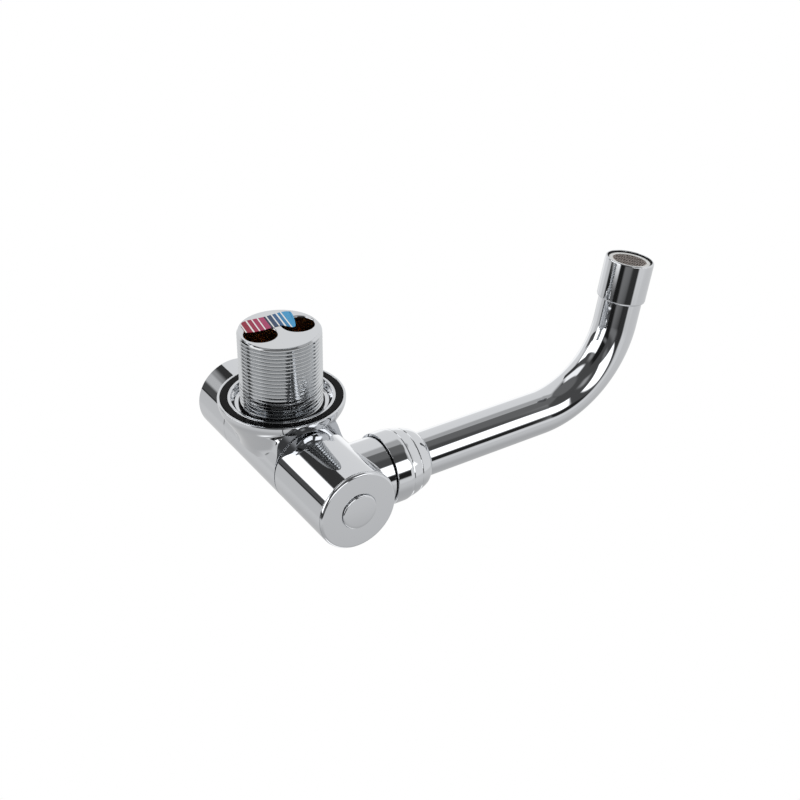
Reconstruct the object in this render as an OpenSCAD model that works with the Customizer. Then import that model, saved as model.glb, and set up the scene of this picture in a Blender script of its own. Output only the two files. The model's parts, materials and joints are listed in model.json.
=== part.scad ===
// Folding caravan tap: a fixed body on a threaded shank, a turning knob at one end of the barrel
// and a fold head at the other, which carries the swivelling spout.
// The shank points down (-Z) through the worktop, the barrel lies along X, the spout points to -Y.
// The origin is the centre of the flange's sealing face. All sizes are in mm.

/* [Shank and inlets] */
// Outside diameter of the shank's thread, M32 x 1.5 (for a 33 mm hole)
shank_d = 32; // [31:0.5:34]
// Length of the shank below the worktop's face
shank_l = 28.5; // [22:0.5:60]
// Distance between the centres of the two inlets
inlet_pitch = 15.9; // [15:0.1:17]
// Bore of an inlet, for 12 mm push-in tails
inlet_d = 12.4; // [10:0.1:13]
// Depth of an inlet
inlet_l = 20.5; // [14:0.5:21]

/* [Body and flange] */
// Diameter of the barrel
barrel_d = 32; // [31.5:0.5:36]
// Height of the barrel's axis above the worktop's face
axis_z = 20.5; // [20:0.5:26]
// Length of the fixed part of the barrel
body_l = 41; // [40.5:0.5:46]
// Distance from the shank's axis to the middle of the fixed part, towards the fold head
body_off = 1.3; // [0:0.1:2]
// Width of the flange's ring outside the recess
flange_w = 5.15; // [4.8:0.05:8]
// Thickness of the flange
flange_t = 4; // [3.9:0.1:4.2]
// Height at which the bell's rounded rim turns into its straight side
bell_z = 6; // [5:0.5:8]
// Width of the neck between its two sides, half-way up
neck_w = 28.4; // [26:0.2:29]
// Width of the recess under the flange, round the shank
recess_w = 3.5; // [3:0.25:4]

/* [Handle] */
// Length of the knob
handle_l = 22.45; // [19:0.5:40]
// Gap at the two seams of the barrel
seam = 0.25; // [0.2:0.05:0.6]
// Travel of the knob from closed to hot, in degrees
handle_travel = 120; // [110:1:122]

/* [Fold head] */
// Length of the fold head with its seam at the end cap
head_l = 32.85; // [32:0.5:40]
// Thickness of the end cap's plate
cap_t = 1.15; // [1:0.05:1.8]
// Diameter of the plugs in the cap and in the knob
plug_d = 14; // [13:0.5:16]
// Diameter of the stub that carries the spout
stub_d = 26.4; // [26:0.1:28]
// Diameter of the collar nut
collar_d = 28.4; // [28:0.1:30]

/* [Spout] */
// Diameter of the spout tube
tube_d = 17.6; // [16.6:0.1:18.2]
// Wall of the spout tube
tube_wall = 1; // [0.8:0.1:1.2]
// Distance from the barrel's axis to the start of the bend
bend_start = 97.1; // [70:0.1:160]
// Radius of the bend on the tube's centre line
bend_r = 38.2; // [28:0.1:60]
// Angle of the bend
bend_a = 81; // [60:1:90]
// Straight run from the bend to the aerator
outlet_run = 10; // [6:0.5:30]

/* [Hidden] */
$fn = 96;
fit = 0.02;   // gap of pressed, screwed and soldered pieces
run = 0.05;   // gap of turning pieces

shank_r = shank_d / 2;
barrel_r = barrel_d / 2;
recess_r = shank_r + recess_w;
flange_r = recess_r + flange_w;
recess_z = 2.9;                 // floor of the recess round the shank
seal_ri = recess_r + 1.25;
seal_ro = flange_r - 1;
foot_ring_r = shank_r + 0.6;
groove_r = shank_r - 0.4;       // run-out groove of the thread, where the foot ring sits
spigot_r = shank_r - 2;
spigot_z = 7;                   // top of the shank's spigot in the body
label_cut_r = inlet_d / 2 + 0.8; // the sticker's edge round an inlet
rib_n = 12;                     // rings that stand for the thread, from its run-out to the end
rib_land = 0.8;
rib_root = 0.4;
rib_h = 0.85;
thread_z1 = recess_z - 0.6;
thread_z0 = -shank_l + 0.6;
body_x0 = body_off - body_l / 2;
body_x1 = body_off + body_l / 2;
knob_x1 = body_x0 - seam;
head_x0 = body_x1 + seam;

// cartridge, from its floor in the body towards the knob
floor_x = -1;
base_x = floor_x - 2.5;
disc_x = base_x - 2.5;          // the face where the two discs slide
mover_x = disc_x - 3;
flange_x = mover_x - 2.5;
cup_x = flange_x - 3.7;
cartridge_r = 12.5;
nut_r = 14;
cup_r = 10.5;
spindle_r = 4;
port_ring = 7.2;                // radius of the ring on which the inlet ports lie
port_a = 40;                    // angle of each port from straight down
port_r = 2;
port_y = port_ring * sin(port_a);
port_dz = -port_ring * cos(port_a);
outlet_r = 2.6;
passage_x = 2;
passage_r = port_r - 0.2;
lug_r = 10.2;
lug_a = 7;

// knob
knob_x = knob_x1 - handle_l;
spindle_end = knob_x + 8.9;
web_x = knob_x + 7.9;
plug_r = plug_d / 2;
plug_t = 1.6;
plug_sink = 0.6;
plug_gap = 0.15;
snap_r = plug_r - 1.5;

// axle and fold head
axle_r = 9;
axle_bore_r = 5;
axle_thread_r = 10;
axle_flange_r = 12;
axle_x = 8;                     // inner end of the axle
head_x = head_x0 + head_l;      // outer face of the head
rub_x = head_x - 4.9;           // face that the friction washer rubs on
spout_x = head_x0 + 15.45;
chamber = 5.5;                  // half the width of the water chamber round the axle
o_ring_w = 2.4;
o_ring_x = [head_x0 + 4.9, rub_x - 4.7];
cap_skirt_r = 12.6;

// stub, collar and tube
stub_r = stub_d / 2;
stub_end = 19.9;
tube_r = tube_d / 2;
nipple_r = tube_r + 1.05;
spigot2_r = nipple_r + run + 1.7;
nipple_in = 13.2;
tube_in = 27.5;
spigot2_end = 29.5;
collar_in = 20.3;
collar_step = 31.8;
collar_end = 38.3;
collar_r = collar_d / 2;
nipple_o_rings_d = [16.5, 21.5];

// outlet
aerator_r = tube_r + 1.05;
aerator_l = 17;
socket_l = 6;
chamfer = 0.5;
screen_r = tube_r - 1.95;

chrome = [0.80, 0.81, 0.82];
brass = [0.72, 0.58, 0.32];
rubber = [0.08, 0.08, 0.08];
plastic = [0.88, 0.88, 0.86];

module rod_x(x0, x1, r, y = 0, dz = 0) {
    translate([x0, y, axis_z + dz]) rotate([0, 90, 0]) cylinder(r = r, h = x1 - x0);
}

module rod_y(d0, d1, r) {
    translate([spout_x, -d0, axis_z]) rotate([90, 0, 0]) cylinder(r = r, h = d1 - d0);
}

module rod_z(z0, z1, r, x = 0, y = 0) {
    translate([x, y, z0]) cylinder(r = r, h = z1 - z0);
}

// a profile of [radius, distance] points turned about the barrel's axis, from the plane x
module turned_x(x, points) {
    translate([x, 0, axis_z]) rotate([0, 90, 0]) rotate_extrude() polygon(points);
}

// the same about the tube's axis, from the distance d in front of the barrel's axis
module turned_y(d, points) {
    translate([spout_x, -d, axis_z]) rotate([90, 0, 0]) rotate_extrude() polygon(points);
}

module at_bend_end() {
    translate([spout_x, -bend_start - bend_r * sin(bend_a), axis_z - bend_r * (1 - cos(bend_a))])
        rotate([90 + bend_a, 0, 0]) children();
}

// a wedge in the plane across the barrel, between two angles measured from +Y towards +Z
module sector_x(x0, x1, a0, a1, r) {
    step = (a1 - a0) / 4;
    translate([x0, 0, axis_z]) rotate([90, 0, 90]) linear_extrude(x1 - x0)
        polygon(concat([[0, 0]], [for (i = [0:4]) r / cos(step / 2) * [cos(a0 + i * step), sin(a0 + i * step)]]));
}

module ring_x(x0, x1, ri, ro) {
    difference() {
        rod_x(x0, x1, ro);
        rod_x(x0 - 1, x1 + 1, ri);
    }
}

// flange and bell in one turned shape, cut off flat at the body's two ends above the flange
module bell() {
    difference() {
        rotate_extrude() polygon([[0, 0], [flange_r, 0], [flange_r, 0.3 * flange_t],
            [flange_r - 0.25, 0.6 * flange_t], [flange_r - 0.75, flange_t], [flange_r - 2.05, bell_z],
            [barrel_r - 0.4, axis_z - 2.5], [0, axis_z - 2.5]]);
        translate([body_x1, -flange_r, flange_t]) cube([flange_r, 2 * flange_r, axis_z]);
        translate([body_x0 - flange_r, -flange_r, flange_t]) cube([flange_r, 2 * flange_r, axis_z]);
    }
}

// the neck's sides, which flare from the flange and lead into the barrel below its widest line
module neck() {
    side = [[neck_w / 2 - 4, flange_t - 0.5], [neck_w / 2 - 1, flange_t + 3.5], [neck_w / 2, axis_z - 9.5],
        [neck_w / 2 + 0.7, axis_z - 5.5]];
    translate([body_x0, 0, 0]) rotate([90, 0, 90]) linear_extrude(body_l)
        polygon(concat(side, [for (i = [len(side) - 1:-1:0]) [-side[i][0], side[i][1]]]));
}

module mixer_body() {
    color(chrome) difference() {
        union() {
            rod_x(body_x0, body_x1, barrel_r);
            neck();
            bell();
        }
        rotate_extrude() polygon([[0, -1], [recess_r, -1], [recess_r, 1.2], [recess_r - 1.5, recess_z],
            [0, recess_z]]);
        rod_z(recess_z - 1, spigot_z, spigot_r + fit);
        difference() {
            rod_z(-1, 1.5, seal_ro + fit);
            rod_z(-2, 2, seal_ri - fit);
        }
        for (s = [-1, 1]) {
            rod_z(spigot_z - 1, axis_z + port_dz + 1, passage_r, passage_x, s * port_y);
            rod_x(floor_x - 1, passage_x + 1.2, port_r, s * port_y, port_dz);
        }
        rod_x(body_x0 - 1, cup_x, nut_r + fit);
        rod_x(cup_x - 1, floor_x, cartridge_r + fit);
        rod_x(floor_x - 1, axle_x + 1, outlet_r);
        rod_x(axle_x - 0.5, body_x1, axle_thread_r + fit);
        rod_x(body_x1 - 1.5, body_x1 + 1, axle_flange_r + fit);
    }
}

module deck_seal() {
    color(rubber) difference() {
        rod_z(0, 1.48, seal_ro);
        rod_z(-1, 2, seal_ri);
    }
}

// the shank, whose thread is a row of plain rings here
module threaded_shank() {
    pitch = (thread_z1 - thread_z0) / rib_n;
    color(chrome) difference() {
        union() {
            rotate_extrude() polygon(concat([[0, recess_z], [groove_r, recess_z], [groove_r, thread_z1],
                [shank_r, thread_z1]], [for (i = [0:rib_n - 1]) each [
                    [shank_r, thread_z1 - i * pitch - rib_land / 2],
                    [shank_r - rib_h, thread_z1 - (i + 0.5) * pitch + rib_root / 2],
                    [shank_r - rib_h, thread_z1 - (i + 0.5) * pitch - rib_root / 2],
                    [shank_r, thread_z1 - (i + 1) * pitch + rib_land / 2]]],
                [[shank_r, thread_z0], [shank_r - 0.6, -shank_l], [0, -shank_l]]));
            rod_z(recess_z - 1, spigot_z - fit, spigot_r);
        }
        for (s = [-1, 1]) {
            rod_z(-shank_l - 1, -shank_l + inlet_l, inlet_d / 2, 0, s * inlet_pitch / 2);
            rod_z(-shank_l + inlet_l - 1, spigot_z + 1, passage_r, passage_x, s * port_y);
        }
    }
}

module shank_foot_ring() {
    color(rubber) difference() {
        rod_z(thread_z1 + fit, recess_z - fit, foot_ring_r);
        rod_z(0, spigot_z, groove_r + fit);
    }
}

// the striped sticker on the shank's end, cut clear of the inlets so that the hoses go in
module temperature_label() {
    color([0.55, 0.3, 0.4]) difference() {
        translate([0, 0, -shank_l - 0.17]) linear_extrude(0.15)
            polygon([[-9.5, 11.2], [-11.5, 9.7], [-11.9, 7.3], [-11.3, 2.4], [-11.1, 0], [-11.2, -3.6],
                [-11.3, -7.2], [-10.6, -9.4], [-9.7, -10.3], [-6.4, -9.5], [-2.5, -8], [1.3, -6.3], [2, -5],
                [-1.9, -1.9], [-2.1, 2.3], [-1.9, 4.7], [-2.3, 9], [-3.5, 12.2]]);
        for (s = [-1, 1]) rod_z(-shank_l - 1, 0, label_cut_r, 0, s * inlet_pitch / 2);
    }
}

module ports(x0, x1) {
    rod_x(x0, x1, outlet_r);
    for (s = [-1, 1]) rod_x(x0, x1, port_r, s * port_y, port_dz);
}

module cartridge_base() {
    color(plastic) difference() {
        rod_x(base_x, floor_x - fit, cartridge_r);
        ports(base_x - 1, floor_x + 1);
        for (s = [-1, 1]) rod_x(floor_x - 0.7, floor_x + 1, port_r + 1.1, s * port_y, port_dz);
        rod_x(floor_x - 0.7, floor_x + 1, outlet_r + 1.1);
    }
}

module port_seals() {
    color(rubber) difference() {
        union() {
            for (s = [-1, 1]) rod_x(floor_x - 0.69, floor_x - fit, port_r + 1.08, s * port_y, port_dz);
            rod_x(floor_x - 0.69, floor_x - fit, outlet_r + 1.08);
        }
        ports(floor_x - 2, floor_x + 1);
        for (s = [-1, 1]) rod_x(floor_x - 2, floor_x + 1, port_r + 0.2, s * port_y, port_dz);
        rod_x(floor_x - 2, floor_x + 1, outlet_r + 0.2);
    }
}

module fixed_disc() {
    color([0.93, 0.93, 0.9]) difference() {
        rod_x(disc_x, base_x - fit, cup_r - 0.05);
        ports(disc_x - 1, base_x + 1);
    }
}

// the cup that holds discs and spindle, with the two stops of the knob's travel
module cartridge_housing() {
    color(plastic) {
        difference() {
            rod_x(cup_x + fit, base_x - fit, cartridge_r);
            rod_x(flange_x - 0.2, base_x + 1, cup_r);
            rod_x(cup_x - 1, flange_x, spindle_r + run);
        }
        for (a = [[60, 90 - lug_a - 1], [90 + handle_travel + lug_a + 1, 120 + handle_travel]])
            intersection() {
                ring_x(flange_x - 0.3, mover_x - 0.4, 9.5, cup_r + 0.1);
                sector_x(flange_x - 0.5, mover_x, a[0], a[1], 14);
            }
    }
}

module cartridge_nut() {
    color(brass) difference() {
        rod_x(body_x0 + 0.2, cup_x, nut_r);
        rod_x(body_x0 - 1, cup_x + 1, 9);
        for (a = [0, 90]) translate([body_x0 - 1, 0, axis_z]) rotate([a, 0, 0])
            translate([0, -nut_r - 1, -2]) cube([2.8, 2 * nut_r + 2, 4]);
    }
}

module pivot_axle() {
    color(brass) difference() {
        union() {
            rod_x(axle_x, body_x1 - 1, axle_thread_r);
            rod_x(body_x1 - 1.5 + fit, body_x1, axle_flange_r);
            rod_x(body_x1 - 1, rub_x + run, axle_r);
        }
        rod_x(axle_x - 1, spout_x + chamber, axle_bore_r);
        for (a = [0:90:270]) translate([spout_x, 0, axis_z]) rotate([a, 0, 0]) cylinder(r = 2.5, h = 20);
        for (x = o_ring_x) ring_x(x, x + o_ring_w, axle_r - 1.6, axle_r + 1);
        rod_x(spout_x + chamber + 1.5, rub_x + 1, 3);
    }
}

module axle_o_rings() {
    color(rubber) for (x = o_ring_x) ring_x(x + fit, x + o_ring_w - fit, axle_r - 1.58, axle_r + run - 0.01);
}

module seam_washer() {
    color(rubber) ring_x(body_x1 + 0.01, head_x0 - 0.01, axle_r + 0.1, barrel_r - 0.8);
}

module friction_washer() {
    color(plastic) ring_x(rub_x + run + 0.01, rub_x + 1.05, 3.1, cap_skirt_r - 0.8);
}

module spring_washer() {
    color([0.6, 0.6, 0.6]) turned_x(rub_x + 1.06, [[3.1, 0.59], [3.1, 1.19], [9, 0.6], [9, 0]]);
}

module retaining_screw() {
    color([0.6, 0.6, 0.6]) difference() {
        union() {
            rod_x(spout_x + chamber + 2, rub_x + 3, 3 - fit);
            rod_x(rub_x + 2.26, rub_x + 4.2, 5);
        }
        translate([rub_x + 2.9, 0, axis_z]) rotate([0, 90, 0]) cylinder(r = 2.3, h = 3, $fn = 6);
    }
}

module handle_knob() {
    color(chrome) difference() {
        union() {
            difference() {
                turned_x(knob_x, [[0, 0], [barrel_r - 0.3, 0], [barrel_r, 0.3], [barrel_r, handle_l], [0, handle_l]]);
                rod_x(web_x, 0, barrel_r - 2.4);
            }
            rod_x(web_x - 0.5, knob_x1 - 3.1, 7);
        }
        intersection() {
            rod_x(spindle_end, 0, spindle_r + fit);
            translate([spindle_end, -10, axis_z - 3.2 - fit]) cube([40, 20, 6.4 + 2 * fit]);
        }
        rod_x(knob_x - 1, 0, 2.1);
        rod_x(knob_x - 1, knob_x + 4.3, snap_r);
        rod_x(knob_x - 1, knob_x + plug_sink, plug_r + plug_gap);
    }
}

// a snap plug: a low dome with a ring of spring skirt, outwards along +Z
module plug_solid() {
    rotate_extrude() polygon([[0, 0], [plug_r, 0], [plug_r, plug_t - 0.9], [plug_r - 0.2, plug_t - 0.5],
        [plug_r - 0.8, plug_t - 0.22], [0.45 * plug_r, plug_t - 0.05], [0, plug_t]]);
    difference() {
        translate([0, 0, -0.9]) cylinder(r = snap_r - fit, h = 1);
        translate([0, 0, -1]) cylinder(r = snap_r - 0.8, h = 1);
    }
}

module handle_plug() {
    color(chrome) translate([knob_x + plug_sink - fit, 0, axis_z]) rotate([0, -90, 0]) plug_solid();
}

module handle_screw() {
    color([0.6, 0.6, 0.6]) difference() {
        union() {
            rod_x(knob_x + 1.6, knob_x + 4.28, 3.6);
            rod_x(knob_x + 4, spindle_end + 6, 2 - fit);
        }
        translate([knob_x, 0, axis_z]) rotate([0, 90, 0]) cylinder(r = 1.8, h = 3, $fn = 6);
    }
}

module spindle() {
    color(brass) difference() {
        union() {
            difference() {
                rod_x(spindle_end + fit, flange_x + 1, spindle_r);
                for (s = [-1, 1]) translate([spindle_end - 1, -10, axis_z + s * 5.2 - 2])
                    cube([knob_x1 - 3.1 - spindle_end + 1, 20, 4]);
            }
            rod_x(flange_x, mover_x - fit, 9.2);
            intersection() {
                ring_x(flange_x, mover_x - 0.5, 5, lug_r);
                sector_x(flange_x - 1, mover_x, 90 - lug_a, 90 + lug_a, 14);
            }
            for (s = [-1, 1]) translate([mover_x - 0.5, -1.5, axis_z + s * 6 - 2]) cube([1.4, 3, 4]);
        }
        rod_x(spindle_end - 1, spindle_end + 8, 2);
        ring_x(cup_x + 1, cup_x + 2.5, spindle_r - 1.1, spindle_r + 1);
    }
}

module spindle_o_ring() {
    color(rubber) ring_x(cup_x + 1 + fit, cup_x + 2.5 - fit, spindle_r - 1.08, spindle_r + run - 0.01);
}

// the turning disc: its pocket opens the cold port first, then both, then the hot one
module moving_disc() {
    color([0.93, 0.93, 0.9]) difference() {
        rod_x(mover_x, disc_x - fit, lug_r);
        intersection() {
            rod_x(disc_x - 1.2, disc_x + 1, port_ring + port_r + 0.1);
            union() {
                sector_x(disc_x - 2, disc_x + 2, 130, 210, 14);
                rod_x(disc_x - 2, disc_x + 2, outlet_r + 0.3);
            }
        }
        for (s = [-1, 1]) translate([mover_x - 1, -1.5 - run, axis_z + s * 6 - 2 - run])
            cube([2, 3 + 2 * run, 4 + 2 * run]);
    }
}

module fold_head() {
    color(chrome) difference() {
        union() {
            rod_x(head_x0, head_x, barrel_r);
            rod_y(0, stub_end, stub_r);
            rod_y(0, spigot2_end, spigot2_r);
        }
        rod_x(head_x0 - 1, head_x, axle_r + run);
        rod_x(spout_x - chamber, spout_x + chamber, axle_r + 3);
        rod_x(rub_x, head_x + 1, cap_skirt_r);
        rod_y(0, nipple_in, axle_bore_r);
        rod_y(nipple_in - 0.2, 40, nipple_r + run);
    }
}

module end_cap() {
    color(chrome) difference() {
        union() {
            turned_x(head_x + 0.05, concat([[0, 0], [barrel_r - 0.2, 0]],
                [for (a = [0:22.5:90]) [barrel_r - 0.2 - (cap_t - 0.15) * (1 - cos(a)), 0.15 + (cap_t - 0.15) * sin(a)]],
                [[0, cap_t]]));
            ring_x(rub_x + 1.6, head_x + 0.5, cap_skirt_r - 1.8, cap_skirt_r - fit);
        }
        rod_x(head_x - 1, head_x + 3, snap_r);
        rod_x(head_x + 0.05 + cap_t - plug_sink, head_x + 3, plug_r + plug_gap);
    }
}

module cap_plug() {
    color(chrome) translate([head_x + 0.05 + cap_t - plug_sink + fit, 0, axis_z]) rotate([0, 90, 0]) plug_solid();
}

module collar_seal() {
    seal_t = collar_in - stub_end - 0.01;
    color(rubber) turned_y(stub_end, [[spigot2_r + fit, 0.01], [stub_r, 0.01], [stub_r, seal_t],
        [spigot2_r + fit, seal_t]]);
}

// the collar nut with its two ring grooves
module collar_nut() {
    color(chrome) difference() {
        turned_y(collar_in, [[spigot2_r + run, 0], [collar_r - 0.2, 0], [collar_r, 0.2], [collar_r, 5.7],
            [collar_r - 0.25, 7.2], [collar_r - 0.55, 7.4], [collar_r - 0.4, 7.7], [collar_r - 0.55, 8.7],
            [collar_r - 1.1, 11.2], [collar_r - 1.22, 11.6], [collar_r - 1.6, 11.8], [collar_r - 1.4, 12.1],
            [collar_r - 1.8, 13.6], [collar_r - 2.25, 14.9], [collar_r - 2.8, 16.1], [collar_r - 3.5, 17],
            [tube_r + 1.1, collar_end - collar_in - 0.15], [tube_r + 0.8, collar_end - collar_in],
            [tube_r + run, collar_end - collar_in], [tube_r + run, collar_step - collar_in],
            [spigot2_r + run, collar_step - collar_in]]);
    }
}

module tube_section(ro, ri) {
    difference() {
        circle(r = ro);
        circle(r = ri);
    }
}

// the tube's runs meet the bend with a hair's gap, which a sleeve inside the wall closes
module spout_tube() {
    sleeve = [tube_r - 0.3, tube_r - tube_wall + 0.25];
    color(chrome) {
        translate([spout_x, -tube_in - fit, axis_z]) rotate([90, 0, 0])
            linear_extrude(bend_start - tube_in - fit - 0.01) tube_section(tube_r, tube_r - tube_wall);
        translate([spout_x, -bend_start + 0.5, axis_z]) rotate([90, 0, 0])
            linear_extrude(1) tube_section(sleeve[0], sleeve[1]);
        translate([spout_x, -bend_start, axis_z - bend_r]) rotate([0, 0, 180]) rotate([0, -90, 0])
            rotate_extrude(angle = bend_a) translate([bend_r, 0]) tube_section(tube_r, tube_r - tube_wall);
        at_bend_end() {
            translate([0, 0, -0.5]) linear_extrude(1) tube_section(sleeve[0], sleeve[1]);
            translate([0, 0, 0.01]) linear_extrude(outlet_run + socket_l - fit - 0.01)
                tube_section(tube_r, tube_r - tube_wall);
        }
    }
}

module spout_nipple() {
    color(brass) difference() {
        union() {
            rod_y(nipple_in, tube_in, nipple_r);
            rod_y(tube_in - 1, tube_in + 7.5, tube_r - tube_wall - fit);
        }
        rod_y(nipple_in - 1, tube_in + 9, 5.5);
        for (d = nipple_o_rings_d) difference() {
            rod_y(d, d + o_ring_w, nipple_r + 1);
            rod_y(d - 1, d + o_ring_w + 1, nipple_r - 1.65);
        }
    }
}

module nipple_o_rings() {
    color(rubber) for (d = nipple_o_rings_d) difference() {
        rod_y(d + fit, d + o_ring_w - fit, nipple_r + run - 0.01);
        rod_y(d - 1, d + o_ring_w + 1, nipple_r - 1.63);
    }
}

module retaining_ring() {
    color(brass) difference() {
        rod_y(spigot2_end + 0.1, collar_step - 0.1, spigot2_r);
        rod_y(tube_in, 40, tube_r + fit);
    }
}

module aerator_housing() {
    color(chrome) at_bend_end() translate([0, 0, outlet_run]) rotate_extrude() polygon([
        [tube_r + fit, 0], [aerator_r - 0.8, 0], [aerator_r - 0.35, 0.2], [aerator_r - 0.08, 0.55], [aerator_r, 1],
        [aerator_r, aerator_l - chamfer], [aerator_r - chamfer, aerator_l], [tube_r + 0.3, aerator_l],
        [tube_r + 0.3, socket_l + 1], [tube_r - tube_wall, socket_l + 1], [tube_r - tube_wall, socket_l],
        [tube_r + fit, socket_l]]);
}

module aerator_seal() {
    color(rubber) at_bend_end() translate([0, 0, outlet_run + 15]) difference() {
        cylinder(r = tube_r + 0.28, h = 1.6);
        translate([0, 0, -1]) cylinder(r = tube_r - 0.48, h = 4);
    }
}

// the white insert: a cup whose floor breaks the water into jets
module aerator_insert() {
    color([0.95, 0.95, 0.93]) at_bend_end() translate([0, 0, outlet_run + socket_l + 1 + fit]) difference() {
        union() {
            cylinder(r = tube_r + 0.28, h = 7.96);
            cylinder(r = tube_r - 0.5, h = 9.3);
        }
        translate([0, 0, 1.5]) cylinder(r = screen_r + fit, h = 10);
        for (a = [0:30:330]) rotate(a) translate([5, 0, -1]) cylinder(r = 0.6, h = 4);
        for (a = [0:60:300]) rotate(a) translate([2.5, 0, -1]) cylinder(r = 0.6, h = 4);
    }
}

module aerator_mesh() {
    color([0.7, 0.7, 0.7]) at_bend_end() translate([0, 0, outlet_run + 15.8]) linear_extrude(0.3) difference() {
        circle(r = screen_r);
        intersection() {
            circle(r = screen_r - 0.5);
            for (x = [-4:4]) for (y = [-4:4]) translate([1.5 * x, 1.5 * y]) square(1.1, center = true);
        }
    }
}

mixer_body();
deck_seal();
threaded_shank();
shank_foot_ring();
temperature_label();
cartridge_base();
port_seals();
fixed_disc();
cartridge_housing();
cartridge_nut();
pivot_axle();
axle_o_rings();
seam_washer();
friction_washer();
spring_washer();
retaining_screw();
handle_knob();
handle_plug();
handle_screw();
spindle();
spindle_o_ring();
moving_disc();
fold_head();
end_cap();
cap_plug();
collar_seal();
collar_nut();
spout_tube();
spout_nipple();
nipple_o_rings();
retaining_ring();
aerator_housing();
aerator_seal();
aerator_insert();
aerator_mesh();
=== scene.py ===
# Folding caravan tap: the looks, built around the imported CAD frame.
# Meshes are made in mm about their own axis, and finishPiece sets them in place and scales them to metres.
import bpy, bmesh, json
from math import radians, pi, sin, cos, asin, sqrt
from mathutils import Vector, Matrix


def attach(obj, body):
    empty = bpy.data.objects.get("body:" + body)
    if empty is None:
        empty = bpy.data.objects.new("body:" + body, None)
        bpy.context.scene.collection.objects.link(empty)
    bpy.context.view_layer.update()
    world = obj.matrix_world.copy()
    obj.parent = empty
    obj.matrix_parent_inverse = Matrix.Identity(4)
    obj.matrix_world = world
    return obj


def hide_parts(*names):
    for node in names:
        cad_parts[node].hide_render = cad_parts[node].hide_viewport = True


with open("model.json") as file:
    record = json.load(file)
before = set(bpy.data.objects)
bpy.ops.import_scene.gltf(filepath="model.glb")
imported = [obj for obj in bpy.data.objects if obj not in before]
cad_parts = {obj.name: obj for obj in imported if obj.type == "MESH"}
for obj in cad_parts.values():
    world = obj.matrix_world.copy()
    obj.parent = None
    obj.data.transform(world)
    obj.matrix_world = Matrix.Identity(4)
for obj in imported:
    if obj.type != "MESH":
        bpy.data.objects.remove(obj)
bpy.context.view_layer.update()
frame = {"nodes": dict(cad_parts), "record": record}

# sizes that several pieces share, in mm
tap = {"axisHeight": 20.5, "barrelRadius": 16.0, "spoutX": 37.5, "flangeRadius": 24.65,
    "flangeThickness": 4.0}
spinSteps = 160
mergeGap = 0.0008
# metres per mm
metre = 0.001

# places of the three axes that pieces are turned about
alongBarrel = Matrix.Translation((0, 0, tap["axisHeight"])) @ Matrix.Rotation(pi / 2, 4, "Y")
alongSpout = Matrix.Translation((tap["spoutX"], 0, tap["axisHeight"])) @ Matrix.Rotation(pi / 2, 4, "X")
alongShank = Matrix.Identity(4)


# Shader helpers

def hexColour(code):
    channels = [int(code[i:i + 2], 16) / 255 for i in (0, 2, 4)]
    return [c / 12.92 if c <= 0.04045 else ((c + 0.055) / 1.055) ** 2.4 for c in channels] + [1.0]


def addNode(tree, kind, inputs=None, **settings):
    node = tree.nodes.new(kind)
    for name, value in settings.items():
        setattr(node, name, value)
    for key, value in (inputs or {}).items():
        if isinstance(value, bpy.types.NodeSocket):
            tree.links.new(value, node.inputs[key])
        else:
            node.inputs[key].default_value = value
    return node


def calculated(tree, operation, *values):
    return addNode(tree, "ShaderNodeMath", dict(enumerate(values)), operation=operation).outputs[0]


def newMaterial(name, shader):
    material = bpy.data.materials.new(name)
    material.use_nodes = True
    tree = material.node_tree
    tree.nodes.clear()
    output = addNode(tree, "ShaderNodeOutputMaterial")
    tree.links.new(shader(tree).outputs[0], output.inputs["Surface"])
    return material


def fineNoise(tree, scale):
    place = addNode(tree, "ShaderNodeTexCoord")
    return addNode(tree, "ShaderNodeTexNoise", {"Vector": place.outputs["Object"], "Scale": scale},
        noise_dimensions="3D").outputs["Fac"]


def fineHaze(tree, scale, least, most):
    return addNode(tree, "ShaderNodeMapRange", {"Value": fineNoise(tree, scale), "To Min": least,
        "To Max": most}).outputs[0]


def twoTints(tree, scale, first, second):
    return addNode(tree, "ShaderNodeMix", {0: fineNoise(tree, scale), 6: hexColour(first),
        7: hexColour(second)}, data_type="RGBA").outputs[2]


def mouldGrain(tree, scale, strength):
    return addNode(tree, "ShaderNodeBump", {"Height": fineNoise(tree, scale), "Strength": strength,
        "Distance": 0.0001}).outputs["Normal"]


def principled(tree, inputs):
    return addNode(tree, "ShaderNodeBsdfPrincipled", inputs)


# Finishes

# bright chrome plate over polished brass: a mirror with hardly any haze, only a faint polishing swirl
def chromePlate(tree):
    return principled(tree, {"Base Color": hexColour("D3D5D8"), "Metallic": 1.0,
        "Roughness": fineHaze(tree, 260.0, 0.025, 0.05)})


# plate on the rolled thread, which can't be polished: a slightly softer mirror
def threadPlate(tree):
    return principled(tree, {"Base Color": hexColour("CFD1D3"), "Metallic": 1.0,
        "Roughness": fineHaze(tree, 500.0, 0.06, 0.1)})


# bare machined brass inside the inlets and on hidden pieces: warm and faintly mottled
def turnedBrass(tree):
    return principled(tree, {"Base Color": twoTints(tree, 900.0, "D9B48A", "E8CCA2"), "Metallic": 1.0,
        "Roughness": 0.2})


# black sealing rubber: nearly black, hardly any sheen, a fine moulded grain
def sealRubber(tree):
    return principled(tree, {"Base Color": hexColour("0A0A0B"), "Roughness": 0.42, "Specular IOR Level": 0.06,
        "Normal": mouldGrain(tree, 1800.0, 0.12)})


def mouldedPlastic(code, rough):
    def shader(tree):
        return principled(tree, {"Base Color": hexColour(code), "Roughness": rough, "IOR": 1.5,
            "Normal": mouldGrain(tree, 1200.0, 0.1)})
    return shader


# stainless steel of washers and screws, faintly drawn
def stainlessSteel(tree):
    return principled(tree, {"Base Color": hexColour("B4B5B4"), "Metallic": 1.0,
        "Roughness": fineHaze(tree, 700.0, 0.2, 0.34)})


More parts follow.
